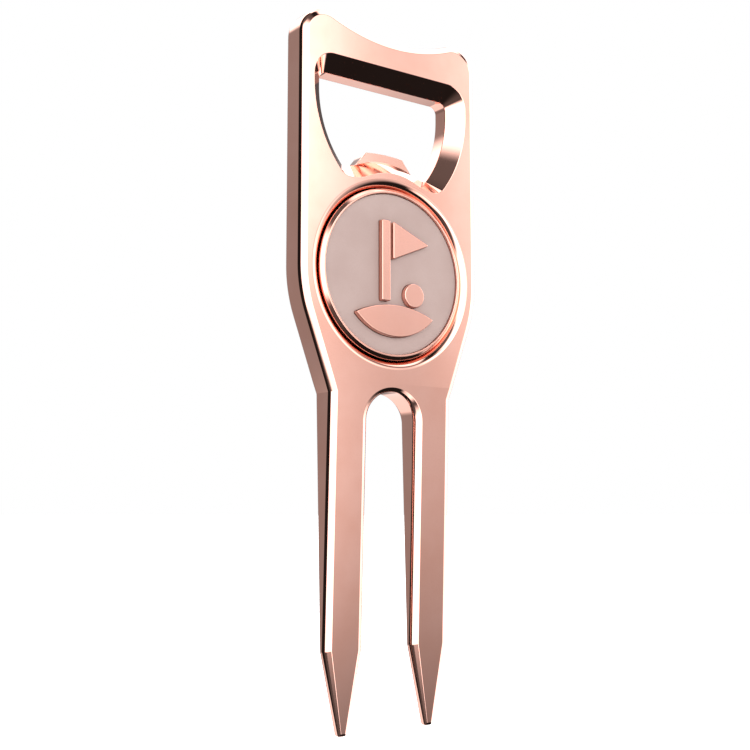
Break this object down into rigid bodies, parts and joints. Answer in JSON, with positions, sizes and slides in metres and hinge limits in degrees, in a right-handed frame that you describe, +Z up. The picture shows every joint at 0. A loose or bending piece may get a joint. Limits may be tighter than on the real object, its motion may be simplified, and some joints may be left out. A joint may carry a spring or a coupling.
{
  "type": "divot repair tool",
  "caption": "Flat two-tined golf divot repair tool with a bottle opener window and a magnetic ball marker that lifts out of a round pocket.",
  "frame": {"origin": "midway between the two tine tips, at their ends, in the middle of the plate's thickness", "axes": "+Z up the tool from the tips to the opener end, +X across the width, -Y out of the front face that carries the ball marker"},
  "size_m": [0.0314, 0.0051, 0.1009],
  "materials": {
    "rose_gold_plated_zinc": "polished rose gold plating on a zinc casting",
    "rose_gold_plated_iron": "polished rose gold plating on a struck iron coin",
    "greige_soft_enamel": "matte, slightly grained soft enamel",
    "nickel_plated_neodymium": "bright nickel plating",
    "clear_epoxy": "cured clear resin"
  },
  "bodies": {
    "tool": {"tool_body": "rose_gold_plated_zinc", "marker_magnet": "nickel_plated_neodymium", "magnet_adhesive": "clear_epoxy"},
    "marker": {"ball_marker": "rose_gold_plated_iron", "marker_enamel": "greige_soft_enamel"}
  },
  "joints": [
    {"name": "marker_lift", "type": "slide", "parent": "tool", "child": "marker", "axis": [0, -1, 0], "range_m": [0, 0.015]}
  ]
}
